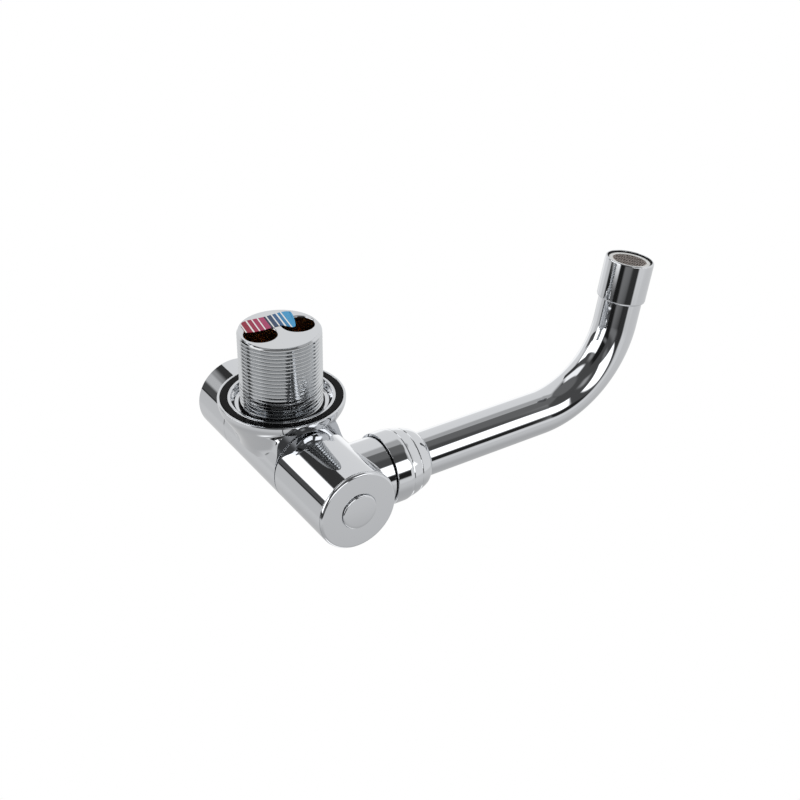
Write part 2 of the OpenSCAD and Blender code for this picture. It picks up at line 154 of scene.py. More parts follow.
# woven strainer wire, stained by water: darker and warmer than new steel
def strainerWire(tree):
    return principled(tree, {"Base Color": twoTints(tree, 400.0, "7F7570", "9A908A"), "Metallic": 1.0,
        "Roughness": 0.4})


# lapped alumina: matt, faintly warm white
def lappedCeramic(tree):
    return principled(tree, {"Base Color": twoTints(tree, 2500.0, "E6E2D6", "F2F0E8"), "Roughness": 0.35,
        "IOR": 1.7})


# printed film: slanted stripes from cold blue to hot red with thin white gaps, places in mm along it
stripes = {"slant": 0.17, "centreX": -6.5, "gap": 0.56, "low": -12.0, "high": 14.0, "white": "F4F4F2",
    "edges": [-5.89, -4.02, -1.95, 0.41, 3.93, 6.29, 8.58, 11.37], "joins": [1.5],
    "colours": ["47A0D2", "3A86B8", "3A628F", "384C6C", "343E54", "B0426C", "AA345C", "A22B4C", "98263E",
        "7C1F30"]}


# where each colour starts: a join changes the colour at once, an edge has a white gap in between
def stripeStarts():
    cuts = sorted([(e, stripes["gap"] / 2) for e in stripes["edges"]] + [(j, 0) for j in stripes["joins"]])
    starts = [(stripes["low"], stripes["colours"][0])]
    for (middle, half), code in zip(cuts, stripes["colours"][1:]):
        if half:
            starts.append((middle - half, stripes["white"]))
        starts.append((middle + half, code))
    return starts


def stripedFilm(tree):
    place = addNode(tree, "ShaderNodeTexCoord")
    axes = addNode(tree, "ShaderNodeSeparateXYZ", {0: place.outputs["Object"]})
    span = stripes["high"] - stripes["low"]
    slant = calculated(tree, "MULTIPLY", axes.outputs["X"], -stripes["slant"] / metre / span)
    along = calculated(tree, "MULTIPLY_ADD", axes.outputs["Y"], 1 / metre / span, slant)
    shift = (stripes["slant"] * stripes["centreX"] - stripes["low"]) / span
    ramp = addNode(tree, "ShaderNodeValToRGB", {"Fac": calculated(tree, "ADD", along, shift)})
    ramp.color_ramp.interpolation = "CONSTANT"
    starts = stripeStarts()
    points = ramp.color_ramp.elements
    while len(points) < len(starts):
        points.new(0.999)
    for point, (start, code) in zip(points, starts):
        point.position = (start - stripes["low"]) / span
    for point, (start, code) in zip(points, starts):
        point.color = hexColour(code)
    return principled(tree, {"Base Color": ramp.outputs["Color"], "Roughness": 0.4,
        "Specular IOR Level": 0.2})


finishes = {
    "chrome": newMaterial("chromePlate", chromePlate),
    "brass": newMaterial("turnedBrass", turnedBrass),
    "rubber": newMaterial("sealRubber", sealRubber),
    "steel": newMaterial("stainlessSteel", stainlessSteel),
    "white_plastic": newMaterial("whiteAcetal", mouldedPlastic("E4E5E3", 0.42)),
    "black_plastic": newMaterial("blackAcetal", mouldedPlastic("141516", 0.5)),
    "ceramic": newMaterial("lappedCeramic", lappedCeramic),
    "label": newMaterial("stripedFilm", stripedFilm),
}
rolledThread = newMaterial("threadPlate", threadPlate)
strainer = newMaterial("strainerWire", strainerWire)
slotOf = {row["node"]: row["material_slot"] for row in frame["record"]["subparts"]}
for nodeName, node in frame["nodes"].items():
    node.data.materials.clear()
    node.data.materials.append(strainer if nodeName == "aerator_mesh" else finishes[slotOf[nodeName]])
print("finishes made")


# Mesh helpers

def roundCorners(bm, corners, reach):
    return bmesh.ops.bevel(bm, geom=corners, affect="VERTICES", offset=reach, offset_type="OFFSET",
        segments=4, profile=0.5, material=-1)


# turns an outline of [radius, distance, corner radius] about Z into a closed ring
def spinOutline(bm, outline, steps=spinSteps):
    corners = [bm.verts.new((row[0], 0, row[1])) for row in outline]
    for pair in zip(corners, corners[1:] + corners[:1]):
        bm.edges.new(pair)
    made = set(corners)
    for corner, row in zip(corners, outline):
        if len(row) > 2:
            made.update(roundCorners(bm, [corner], row[2])["verts"])
    made = [v for v in made if v.is_valid]
    edges = {e for v in made for e in v.link_edges}
    bmesh.ops.spin(bm, geom=made + list(edges), cent=(0, 0, 0), axis=(0, 0, 1), angle=2 * pi, steps=steps,
        use_merge=True)


# puts one bmesh into another
def joinInto(bm, other):
    carrier = bpy.data.meshes.new("carrier")
    other.to_mesh(carrier)
    other.free()
    bm.from_mesh(carrier)
    bpy.data.meshes.remove(carrier)


def movedVerts(geometry):
    return [v for v in geometry if isinstance(v, bmesh.types.BMVert)]


# moves a finished bmesh to its place, makes the object and puts it on its body
def finishPiece(name, bm, place, body, replaced, slot, materials=None, sharp=32):
    bmesh.ops.remove_doubles(bm, verts=bm.verts[:], dist=mergeGap)
    bmesh.ops.recalc_face_normals(bm, faces=bm.faces[:])
    bmesh.ops.transform(bm, matrix=Matrix.Scale(metre, 4) @ place, verts=bm.verts[:])
    mesh = bpy.data.meshes.new(name)
    bm.to_mesh(mesh)
    bm.free()
    for material in materials or [finishes[slot]]:
        mesh.materials.append(material)
    for face in mesh.polygons:
        face.use_smooth = True
    mesh.set_sharp_from_angle(angle=radians(sharp))
    piece = bpy.data.objects.new(name, mesh)
    bpy.context.scene.collection.objects.link(piece)
    # the large faces give the normals, so that a rounded edge doesn't bend the mirror beside it
    evenNormals = piece.modifiers.new("evenNormals", "WEIGHTED_NORMAL")
    evenNormals.keep_sharp = True
    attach(piece, body)
    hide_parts(*replaced)
    return piece


# a piece turned from one outline
def turnedPiece(name, outline, place, body, replaced, slot):
    bm = bmesh.new()
    spinOutline(bm, outline)
    return finishPiece(name, bm, place, body, replaced, slot)


# points on a smooth line through the given ones
def smoothLine(points, pieces):
    line = []
    padded = [points[0]] + points + [points[-1]]
    for before, start, end, after in zip(padded, padded[1:], padded[2:], padded[3:]):
        for k in range(pieces):
            t = k / pieces
            line.append([0.5 * (2 * q + (r - p) * t + (2 * p - 5 * q + 4 * r - s) * t ** 2
                + (3 * q - p - 3 * r + s) * t ** 3) for p, q, r, s in zip(before, start, end, after)])
    return line + [points[-1]]


# Body: a skin of cross sections from the flange up round the barrel, and the turned flange

# the bell's radius is the flange's, less a parabola from rimTop up and a straight cone from coneFrom up
bodyShape = {"left": -19.2, "right": 21.8, "edge": 0.25, "foot": 0.34, "footDrop": 0.03, "tuck": 0.06,
    "proud": 0.02, "rimTop": 1.0, "rimCurve": 0.083, "coneFrom": 4.5, "skirtTop": 18.0, "stations": 150,
    "skirtRows": 64, "barrelRows": 110, "blendLow": 1.95, "blendFrom": 1.3, "blendGrowth": 1.5,
    "barrelFade": 0.6}
# the flat sides, first towards +Y: half width by height, and how far the blends into bell and barrel reach
flatSides = [
    {"bellReach": 6.0, "barrelReach": 2.0, "widths": [(3.0, 9.0), (4.0, 11.6), (5.2, 13.3), (7.0, 14.1),
        (9.0, 14.35), (12.0, 14.5), (15.0, 14.9), (19.0, 15.4)]},
    {"bellReach": 2.0, "barrelReach": 1.0, "widths": [(3.0, 9.0), (4.0, 10.8), (6.1, 11.9), (11.7, 13.7),
        (15.0, 14.9), (19.0, 15.4)]}]
flange = {"rimHeights": (3.6, 3.1, 2.6, 2.1, 1.6, 1.0), "under": 0.01, "rimEdge": 0.25, "grooveOuter": 23.69,
    "grooveInner": 20.71, "grooveDepth": 1.5, "grooveEdge": 0.2, "recessRadius": 19.5, "recessEdge": 0.3,
    "recessDepth": 1.2, "recessFoot": 0.2, "coneRadius": 18.0, "coneTop": 2.9, "coneEdge": 0.3, "bore": 15.3}


def bellRadius(height):
    curved = min(max(height - bodyShape["rimTop"], 0), bodyShape["coneFrom"] - bodyShape["rimTop"])
    straight = max(height - bodyShape["coneFrom"], 0)
    slope = 2 * bodyShape["rimCurve"] * (bodyShape["coneFrom"] - bodyShape["rimTop"])
    return tap["flangeRadius"] - bodyShape["rimCurve"] * curved ** 2 - slope * straight


def sideWidth(height, widths):
    line = smoothLine([list(point) for point in widths], 8)
    for (low, first), (high, second) in zip(line, line[1:]):
        if low <= height <= high:
            return first + (second - first) * (height - low) / (high - low)
    return 0


# the larger of two widths, with a round blend where they meet
def blendedWidth(first, second, reach):
    near = max(reach - abs(first - second), 0) / reach
    return max(first, second) + near ** 2 * reach / 4


def skirtWidth(x, height, width, side):
    bell = sqrt(max(bellRadius(height) ** 2 - x ** 2, 0)) + bodyShape["proud"]
    if height < bodyShape["blendLow"]:
        return bell
    barrel = sqrt(max(tap["barrelRadius"] ** 2 - (tap["axisHeight"] - height) ** 2, 0))
    grown = bodyShape["blendGrowth"] * (height - bodyShape["blendFrom"])
    faded = bodyShape["tuck"] + bodyShape["barrelFade"] * (bodyShape["skirtTop"] - height)
    skirt = blendedWidth(bell, width, min(side["bellReach"], grown))
    return blendedWidth(skirt, barrel, min(side["barrelReach"], faded))


# one cross section at x, up the +Y side, over the barrel and down the -Y side
def bodySection(x, levels):
    foot = bodyShape["foot"]
    halves = []
    for k, side in enumerate(flatSides):
        rows = [(skirtWidth(x, foot, 0, side) - bodyShape["tuck"], foot - bodyShape["footDrop"])]
        halves.append(rows + [(skirtWidth(x, level[0], level[k + 1], side), level[0]) for level in levels])
    start = asin((tap["axisHeight"] - bodyShape["skirtTop"]) / tap["barrelRadius"])
    over = []
    for k in range(1, bodyShape["barrelRows"]):
        turn = -start + (pi + 2 * start) * k / bodyShape["barrelRows"]
        over.append((tap["barrelRadius"] * cos(turn), tap["axisHeight"] + tap["barrelRadius"] * sin(turn)))
    return halves[0] + over + [(-y, z) for y, z in reversed(halves[1])]


def addBodySkin(bm):
    foot, rise = bodyShape["foot"], bodyShape["skirtTop"] - bodyShape["foot"]
    heights = [foot + rise * k / bodyShape["skirtRows"] for k in range(bodyShape["skirtRows"] + 1)]
    levels = [[height] + [sideWidth(height, side["widths"]) for side in flatSides] for height in heights]
    span = bodyShape["right"] - bodyShape["left"]
    loops = []
    for k in range(bodyShape["stations"] + 1):
        x = bodyShape["left"] + span * k / bodyShape["stations"]
        loops.append([bm.verts.new((x, y, z)) for y, z in bodySection(x, levels)])
    for a, b in zip(loops, loops[1:]):
        for k in range(len(a) - 1):
            bm.faces.new((a[k], a[k + 1], b[k + 1], b[k]))
    rims = []
    for end in (loops[0], loops[-1]):
        bm.faces.new(end)
        rims += [bm.edges.get(pair) for pair in zip(end, end[1:])
            if min(v.co.z for v in pair) > tap["flangeThickness"]]
    bmesh.ops.bevel(bm, geom=rims, affect="EDGES", offset=bodyShape["edge"], offset_type="OFFSET", segments=3,
        profile=0.5, material=-1)


# the rim lies just under the skin; below are the seal's groove and the recess round the shank
def addFlange(bm):
    top, under = tap["flangeThickness"], flange["under"]
    rim = [[bellRadius(top) - under, top, flange["rimEdge"]]]
    rim += [[bellRadius(z) - under, z] for z in flange["rimHeights"]]
    underside = [[tap["flangeRadius"] - under, 0, flange["rimEdge"]],
        [flange["grooveOuter"], 0, flange["grooveEdge"]],
        [flange["grooveOuter"], flange["grooveDepth"]], [flange["grooveInner"], flange["grooveDepth"]],
        [flange["grooveInner"], 0, flange["grooveEdge"]]]
    recess = [[flange["recessRadius"], 0, flange["recessEdge"]],
        [flange["recessRadius"], flange["recessDepth"], flange["recessFoot"]],
        [flange["coneRadius"], flange["coneTop"], flange["coneEdge"]], [flange["bore"], flange["coneTop"]],
        [flange["bore"], top]]
    spinOutline(bm, rim + underside + recess, steps=spinSteps * 2)


def makeBody():
    bm = bmesh.new()
    addBodySkin(bm)
    addFlange(bm)
    return finishPiece("mixerBody", bm, alongShank, "body", ["mixer_body"], "chrome")


makeBody()

seal = {"side": 0.05, "bottom": 0.02, "top": 1.47, "corner": 0.5}
sealInner, sealOuter = flange["grooveInner"] + seal["side"], flange["grooveOuter"] - seal["side"]
turnedPiece("deckSeal", [[sealInner, seal["top"]], [sealInner, seal["bottom"], seal["corner"]],
    [sealOuter, seal["bottom"], seal["corner"]], [sealOuter, seal["top"]]],
    alongShank, "body", ["deck_seal"], "rubber")
print("body and flange made")


# Shank with its rolled thread and the two inlets

shank = {"radius": 16.0, "under": 0.02, "root": 15.06, "pitch": 1.5, "rootFlat": 0.24, "crestFrom": 0.66,
    "crestTo": 1.08, "crestEdge": 0.06, "bottom": -28.5, "top": 2.3, "chamfer": 0.6, "stepsPerTurn": 120,
    "inletRadius": 6.2, "inletY": 7.95, "inletDepth": 20.5, "inletLip": 0.65, "lipSteps": 4, "inletSteps": 72,
    "grooveInner": 14.2, "grooveOuter": 15.6, "grooveLow": 2.28, "grooveHigh": 2.88}
planeGap = 0.0001
edgeGap = 0.001


def cutAcross(bm, height, outwards=1, clear=False):
    bmesh.ops.bisect_plane(bm, geom=bm.verts[:] + bm.edges[:] + bm.faces[:], plane_co=(0, 0, height),
        plane_no=(0, 0, outwards), clear_outer=clear, dist=planeGap)


# the thread's outline is spun up a helix, cut level at both ends and taken down at the chamfer
def addThread(bm):
    crest, root, pitch = shank["radius"] - shank["under"], shank["root"], shank["pitch"]
    edge = shank["crestEdge"]
    start = shank["bottom"] - pitch
    turns = int((shank["top"] - shank["bottom"]) / pitch) + 2
    outline = [(root, 0), (root, shank["rootFlat"]), (crest - edge, shank["crestFrom"]),
        (crest, shank["crestFrom"] + edge), (crest, shank["crestTo"] - edge),
        (crest - edge, shank["crestTo"]), (root, pitch)]
    points = [bm.verts.new((r, 0, start + z)) for r, z in outline]
    lines = [bm.edges.new(pair) for pair in zip(points, points[1:])]
    bmesh.ops.spin(bm, geom=points + lines, cent=(0, 0, 0), axis=(0, 0, 1), angle=2 * pi * turns,
        steps=turns * shank["stepsPerTurn"], dvec=(0, 0, pitch / shank["stepsPerTurn"]), use_merge=False)
    bmesh.ops.remove_doubles(bm, verts=bm.verts[:], dist=mergeGap)
    for share in (1, 0.5):
        cutAcross(bm, shank["bottom"] + shank["chamfer"] * share)
    cutAcross(bm, shank["bottom"], outwards=-1, clear=True)
    cutAcross(bm, shank["top"], clear=True)
    for v in bm.verts:
        limit = shank["radius"] - shank["chamfer"] + max(0, v.co.z - shank["bottom"])
        out = v.co.xy.length
        if out > limit:
            v.co.xy = v.co.xy * (limit / out)
    for face in bm.faces:
        face.material_index = 2 if face.calc_center_median().z > shank["bottom"] + shank["chamfer"] else 0


# the flat end between the thread and the lips of both inlets
def addShankEnd(bm):
    end = [e for e in bm.edges
        if e.is_boundary and all(abs(v.co.z - shank["bottom"]) < edgeGap for v in e.verts)]
    for side in (1, -1):
        place = Matrix.Translation((0, side * shank["inletY"], shank["bottom"]))
        lip = bmesh.ops.create_circle(bm, cap_ends=False, radius=shank["inletRadius"] + shank["inletLip"],
            segments=shank["inletSteps"], matrix=place)
        end += list({e for v in lip["verts"] for e in v.link_edges})
    bmesh.ops.triangle_fill(bm, edges=end, use_beauty=True, use_dissolve=False, normal=(0, 0, -1))


# one inlet: a plated round lip and a bare brass bore
def addInlet(bm, side):
    socket = bmesh.new()
    radius, lip, bottom = shank["inletRadius"], shank["inletLip"], shank["bottom"]
    points = []
    for k in range(shank["lipSteps"] + 1):
        turn = pi / 2 * k / shank["lipSteps"]
        points.append((radius + lip * (1 - sin(turn)), bottom + lip * (1 - cos(turn))))
    points += [(radius, bottom + shank["inletDepth"]), (0, bottom + shank["inletDepth"])]
    chain = [socket.verts.new((0, r, z)) for r, z in points]
    edges = [socket.edges.new(pair) for pair in zip(chain, chain[1:])]
    bmesh.ops.spin(socket, geom=chain + edges, cent=(0, 0, 0), axis=(0, 0, 1), angle=2 * pi,
        steps=shank["inletSteps"], use_merge=True)
    bmesh.ops.translate(socket, verts=socket.verts[:], vec=(0, side * shank["inletY"], 0))
    for face in socket.faces:
        face.material_index = 1 if face.calc_center_median().z > bottom + lip else 0
    joinInto(bm, socket)


def makeShank():
    bm = bmesh.new()
    addThread(bm)
    addShankEnd(bm)
    for side in (1, -1):
        addInlet(bm, side)
    # run-out groove under the foot ring
    spinOutline(bm, [[shank["grooveInner"], shank["grooveHigh"]], [shank["grooveOuter"], shank["grooveHigh"]],
        [shank["grooveOuter"], shank["grooveLow"]], [shank["grooveInner"], shank["grooveLow"]]])
    return finishPiece("threadedShank", bm, alongShank, "body", ["threaded_shank"], "chrome",
        [finishes["chrome"], finishes["brass"], rolledThread], sharp=40)


makeShank()
print("shank made")

# the sticker's film, with its corners rounded; it hangs a little over both inlets
sticker = {"bottom": -28.67, "thickness": 0.12, "corner": 0.7,
    "outline": [(-9.5, 11.2), (-11.5, 9.7), (-11.9, 7.3), (-11.3, 2.4), (-11.1, 0), (-11.2, -3.6),
        (-11.3, -7.2), (-10.6, -9.4), (-9.7, -10.3), (-6.4, -9.5), (-2.5, -8.0), (1.3, -6.3), (2.0, -5.0),
        (-1.9, -1.9), (-2.1, 2.3), (-1.9, 4.7), (-2.3, 9.0), (-3.5, 12.2)]}


def makeSticker():
    bm = bmesh.new()
    corners = [bm.verts.new((x, y, sticker["bottom"])) for x, y in sticker["outline"]]
    bm.faces.new(corners)
    roundCorners(bm, corners, sticker["corner"])
    film = bmesh.ops.extrude_face_region(bm, geom=bm.faces[:])
    bmesh.ops.translate(bm, verts=movedVerts(film["geom"]), vec=(0, 0, sticker["thickness"]))
    return finishPiece("temperatureLabel", bm, alongShank, "body", ["temperature_label"], "label")


makeSticker()
print("sticker made")


# Knob, and the plug that knob and end cap share

plug = {"radius": 7.0, "wall": 1.05, "wallEdge": 0.2, "shoulder": 6.78, "shoulderHeight": 1.32,
    "shoulderEdge": 0.25, "dome": 6.4, "domeFoot": 1.4, "domeRise": 0.22, "domeRows": 8}
plugHole = 7.15


# a low domed snap plug: its outline from the seat outwards
def plugOutline(seat, outwards):
    rows = [(0, 0), (plug["radius"], 0), (plug["radius"], plug["wall"], plug["wallEdge"]),
        (plug["shoulder"], plug["shoulderHeight"], plug["shoulderEdge"])]
    for k in range(plug["domeRows"] + 1):
        share = 1 - k / plug["domeRows"]
        rows.append((plug["dome"] * share, plug["domeFoot"] + plug["domeRise"] * (1 - share ** 2)))
    return [[row[0], seat + outwards * row[1]] + list(row[2:]) for row in rows]


knob = {"outer": -41.9, "inner": -19.45, "edge": 0.35, "innerEdge": 0.3, "holeEdge": 0.1, "plugSeat": 0.58,
    "screwBore": 5.5, "cupRadius": 13.6, "cupFloor": -34.0}
knobSeat = knob["outer"] + knob["plugSeat"]
turnedPiece("handleKnob", [[knob["screwBore"], knobSeat], [plugHole, knobSeat],
    [plugHole, knob["outer"], knob["holeEdge"]], [tap["barrelRadius"], knob["outer"], knob["edge"]],
    [tap["barrelRadius"], knob["inner"], knob["innerEdge"]], [knob["cupRadius"], knob["inner"]],
    [knob["cupRadius"], knob["cupFloor"]], [knob["screwBore"], knob["cupFloor"]]],
    alongBarrel, "handle", ["handle_knob"], "chrome")
turnedPiece("handlePlug", plugOutline(knobSeat, -1), alongBarrel, "handle", ["handle_plug"], "chrome")
print("knob made")


# Fold head: barrel, stub and the small fillet between them

head = {"inner": 22.05, "outer": 54.9, "innerEdge": 0.3, "outerEdge": 0.15, "axleBore": 9.1,
    "capSeat": 12.62, "capSeatFloor": 50.0, "stubRadius": 13.2, "stubRoot": 8.2, "stubEnd": 19.9,
    "stubEdge": 0.15, "stubBore": 9.92, "threadRadius": 11.6, "threadEnd": 29.5, "fillet": 0.8,
    "filletRows": 12}


# a ring of points round the stub, at a share of the way from the stub's side of the fillet to the barrel's
def filletRing(bm, share):
    ring = []
    ball = head["fillet"]
    for k in range(spinSteps):
        turn = 2 * pi * k / spinSteps
        across, along = (head["stubRadius"] + ball) * sin(turn), (head["stubRadius"] + ball) * cos(turn)
        forward = -sqrt((tap["barrelRadius"] + ball) ** 2 - across ** 2)
        centre = Vector((tap["spoutX"] + along, forward, tap["axisHeight"] + across))
        toStub = -Vector((cos(turn), 0, sin(turn)))
        toBarrel = -Vector((0, forward, across)).normalized()
        ring.append(bm.verts.new(centre + ball * toStub.slerp(toBarrel, share)))
    return [bm.edges.new(pair) for pair in zip(ring, ring[1:] + ring[:1])]


def makeFoldHead():
    bm = bmesh.new()
    spinOutline(bm, [[head["axleBore"], head["inner"]],
        [tap["barrelRadius"], head["inner"], head["innerEdge"]],
        [tap["barrelRadius"], head["outer"], head["outerEdge"]], [head["capSeat"], head["outer"]],
        [head["capSeat"], head["capSeatFloor"]], [head["axleBore"], head["capSeatFloor"]]])
    bmesh.ops.transform(bm, matrix=alongBarrel, verts=bm.verts[:])
    stub = bmesh.new()
    spinOutline(stub, [[head["stubBore"], head["stubRoot"]], [head["stubRadius"], head["stubRoot"]],
        [head["stubRadius"], head["stubEnd"], head["stubEdge"]], [head["threadRadius"], head["stubEnd"]],
        [head["threadRadius"], head["threadEnd"]], [head["stubBore"], head["threadEnd"]]])
    bmesh.ops.transform(stub, matrix=alongSpout, verts=stub.verts[:])
    rings = [filletRing(stub, k / head["filletRows"]) for k in range(head["filletRows"] + 1)]
    for a, b in zip(rings, rings[1:]):
        bmesh.ops.bridge_loops(stub, edges=a + b)
    joinInto(bm, stub)
    return finishPiece("foldHead", bm, Matrix.Identity(4), "fold_head", ["fold_head"], "chrome")


makeFoldHead()

cap = {"inner": 54.95, "face": 56.1, "radius": 15.8, "edge": 1.0, "holeEdge": 0.2, "holeFloor": 55.5,
    "bore": 5.6, "plugSeat": 55.52}
turnedPiece("endCap", [[cap["bore"], cap["inner"]], [cap["radius"], cap["inner"]],
    [cap["radius"], cap["face"], cap["edge"]], [plugHole, cap["face"], cap["holeEdge"]],
    [plugHole, cap["holeFloor"]], [cap["bore"], cap["holeFloor"]]],
    alongBarrel, "fold_head", ["end_cap"], "chrome")
turnedPiece("capPlug", plugOutline(cap["plugSeat"], 1), alongBarrel, "fold_head", ["cap_plug"], "chrome")
print("fold head made")


# Collar nut, its outline measured from its start: three swelling stretches with a notch between each

collar = {"start": 20.3, "length": 18.0, "radius": 14.2, "startEdge": 0.2, "threadRadius": 11.65,
    "threadEnd": 11.5, "throat": 8.85, "mouth": 9.6, "mouthEdge": 0.1,
    "shoulder": [(14.2, 5.7), (14.12, 6.4), (13.95, 7.15)], "firstNotch": [13.65, 7.42, 0.08],
    "middle": [(13.8, 7.72), (13.65, 8.7), (13.4, 10.0), (13.1, 11.2), (12.98, 11.55)],
    "secondNotch": [12.62, 11.82, 0.08],
    "nose": [(12.8, 12.12), (12.4, 13.6), (11.95, 14.9), (11.4, 16.1), (10.7, 17.0), (9.95, 17.75)]}


def collarOutline():
    outline = [[collar["threadRadius"], 0], [collar["radius"], 0, collar["startEdge"]]]
    outline += smoothLine(collar["shoulder"], 6) + [collar["firstNotch"]]
    outline += smoothLine(collar["middle"], 6) + [collar["secondNotch"]]
    outline += smoothLine(collar["nose"], 8) + [[collar["mouth"], collar["length"], collar["mouthEdge"]]]
    outline += [[collar["throat"], collar["length"]], [collar["throat"], collar["threadEnd"]],
        [collar["threadRadius"], collar["threadEnd"]]]
    return [[row[0], row[1] + collar["start"]] + list(row[2:]) for row in outline]


turnedPiece("collarNut", collarOutline(), alongSpout, "fold_head", ["collar_nut"], "chrome")
print("collar made")


# Spout tube and outlet

spout = {"radius": 8.8, "start": 27.54, "bendStart": 97.1, "bendRadius": 38.2, "bendTurn": 81.0,
    "outletRun": 10.0, "socket": 5.98, "around": 144, "straightRows": 4, "bendSteps": 72}
bendCentre = Vector((tap["spoutX"], -spout["bendStart"], tap["axisHeight"] - spout["bendRadius"]))
bendTurn = radians(spout["bendTurn"])
atOutlet = Matrix.Translation(bendCentre) @ Matrix.Rotation(bendTurn, 4, "X") \
    @ Matrix.Translation((0, 0, spout["bendRadius"])) @ Matrix.Rotation(pi / 2, 4, "X")


def onlyEdges(geometry):
    return [e for e in geometry if isinstance(e, bmesh.types.BMEdge)]


def makeTube():
    bm = bmesh.new()
    place = alongSpout @ Matrix.Translation((0, 0, spout["start"]))
    ring = bmesh.ops.create_circle(bm, cap_ends=False, radius=spout["radius"], segments=spout["around"],
        matrix=place)
    edges = list({e for v in ring["verts"] for e in v.link_edges})

    def lengthen(edges, vec):
        run = bmesh.ops.extrude_edge_only(bm, edges=edges)["geom"]
        bmesh.ops.translate(bm, verts=movedVerts(run), vec=vec)
        return onlyEdges(run)

    for row in range(spout["straightRows"]):
        edges = lengthen(edges, (0, -(spout["bendStart"] - spout["start"]) / spout["straightRows"], 0))
    edges = [e for e in edges if e.is_boundary]
    ends = list({v for e in edges for v in e.verts})
    bent = bmesh.ops.spin(bm, geom=edges + ends, cent=bendCentre, axis=(1, 0, 0), angle=bendTurn,
        steps=spout["bendSteps"], use_merge=False)
    onwards = Vector((0, -cos(bendTurn), -sin(bendTurn)))
    lengthen(onlyEdges(bent["geom_last"]), onwards * (spout["outletRun"] + spout["socket"]))
    return finishPiece("spoutTube", bm, Matrix.Identity(4), "spout", ["spout_tube"], "chrome")


makeTube()

aerator = {"radius": 9.85, "start": 10.0, "end": 27.0, "startEdge": 0.9, "endEdge": 0.5, "bore": 8.82,
    "mouth": 9.1, "mouthEdge": 0.1, "shelf": 7.8, "shelfFrom": 16.1, "shelfTo": 17.1}
turnedPiece("aeratorHousing", [[aerator["bore"], aerator["start"]],
    [aerator["radius"], aerator["start"], aerator["startEdge"]],
    [aerator["radius"], aerator["end"], aerator["endEdge"]],
    [aerator["mouth"], aerator["end"], aerator["mouthEdge"]], [aerator["mouth"], aerator["shelfTo"]],
    [aerator["shelf"], aerator["shelfTo"]], [aerator["shelf"], aerator["shelfFrom"]],
    [aerator["bore"], aerator["shelfFrom"]]], atOutlet, "spout", ["aerator_housing"], "chrome")

mouthSeal = {"inner": 8.32, "outer": 9.08, "from": 25.02, "to": 26.6, "outerCorner": 0.28, "innerCorner": 0.4}
turnedPiece("aeratorSeal", [[mouthSeal["inner"], mouthSeal["from"]], [mouthSeal["outer"], mouthSeal["from"]],
    [mouthSeal["outer"], mouthSeal["to"], mouthSeal["outerCorner"]],
    [mouthSeal["inner"], mouthSeal["to"], mouthSeal["innerCorner"]]],
    atOutlet, "spout", ["aerator_seal"], "rubber")
print("spout made")


# Floor, lamps, world and camera

# a white room with dark and white panels lights the tap; its mirror shows them, the floor is plain
board = {"size": 3.0, "height": -0.0402}
floorMesh = bpy.data.meshes.new("floor")
bm = bmesh.new()
bmesh.ops.create_grid(bm, x_segments=1, y_segments=1, size=board["size"],
    matrix=Matrix.Translation((0, 0, board["height"])))
bm.to_mesh(floorMesh)
bm.free()
floor = bpy.data.objects.new("floor", floorMesh)
bpy.context.scene.collection.objects.link(floor)


# matt pale board, seen from above only, so that the camera below looks through it
def paleBoard(tree):
    rays = addNode(tree, "ShaderNodeLightPath")
    sides = addNode(tree, "ShaderNodeNewGeometry")
    above = calculated(tree, "SUBTRACT", 1.0, sides.outputs["Backfacing"])
    seen = calculated(tree, "MULTIPLY", rays.outputs["Is Camera Ray"], above)
    matt = addNode(tree, "ShaderNodeBsdfDiffuse", {"Color": hexColour("F0F0EE")})
    clear = addNode(tree, "ShaderNodeBsdfTransparent")
    return addNode(tree, "ShaderNodeMixShader", {0: seen, 1: clear.outputs[0], 2: matt.outputs[0]})


floorMesh.materials.append(newMaterial("paleBoard", paleBoard))

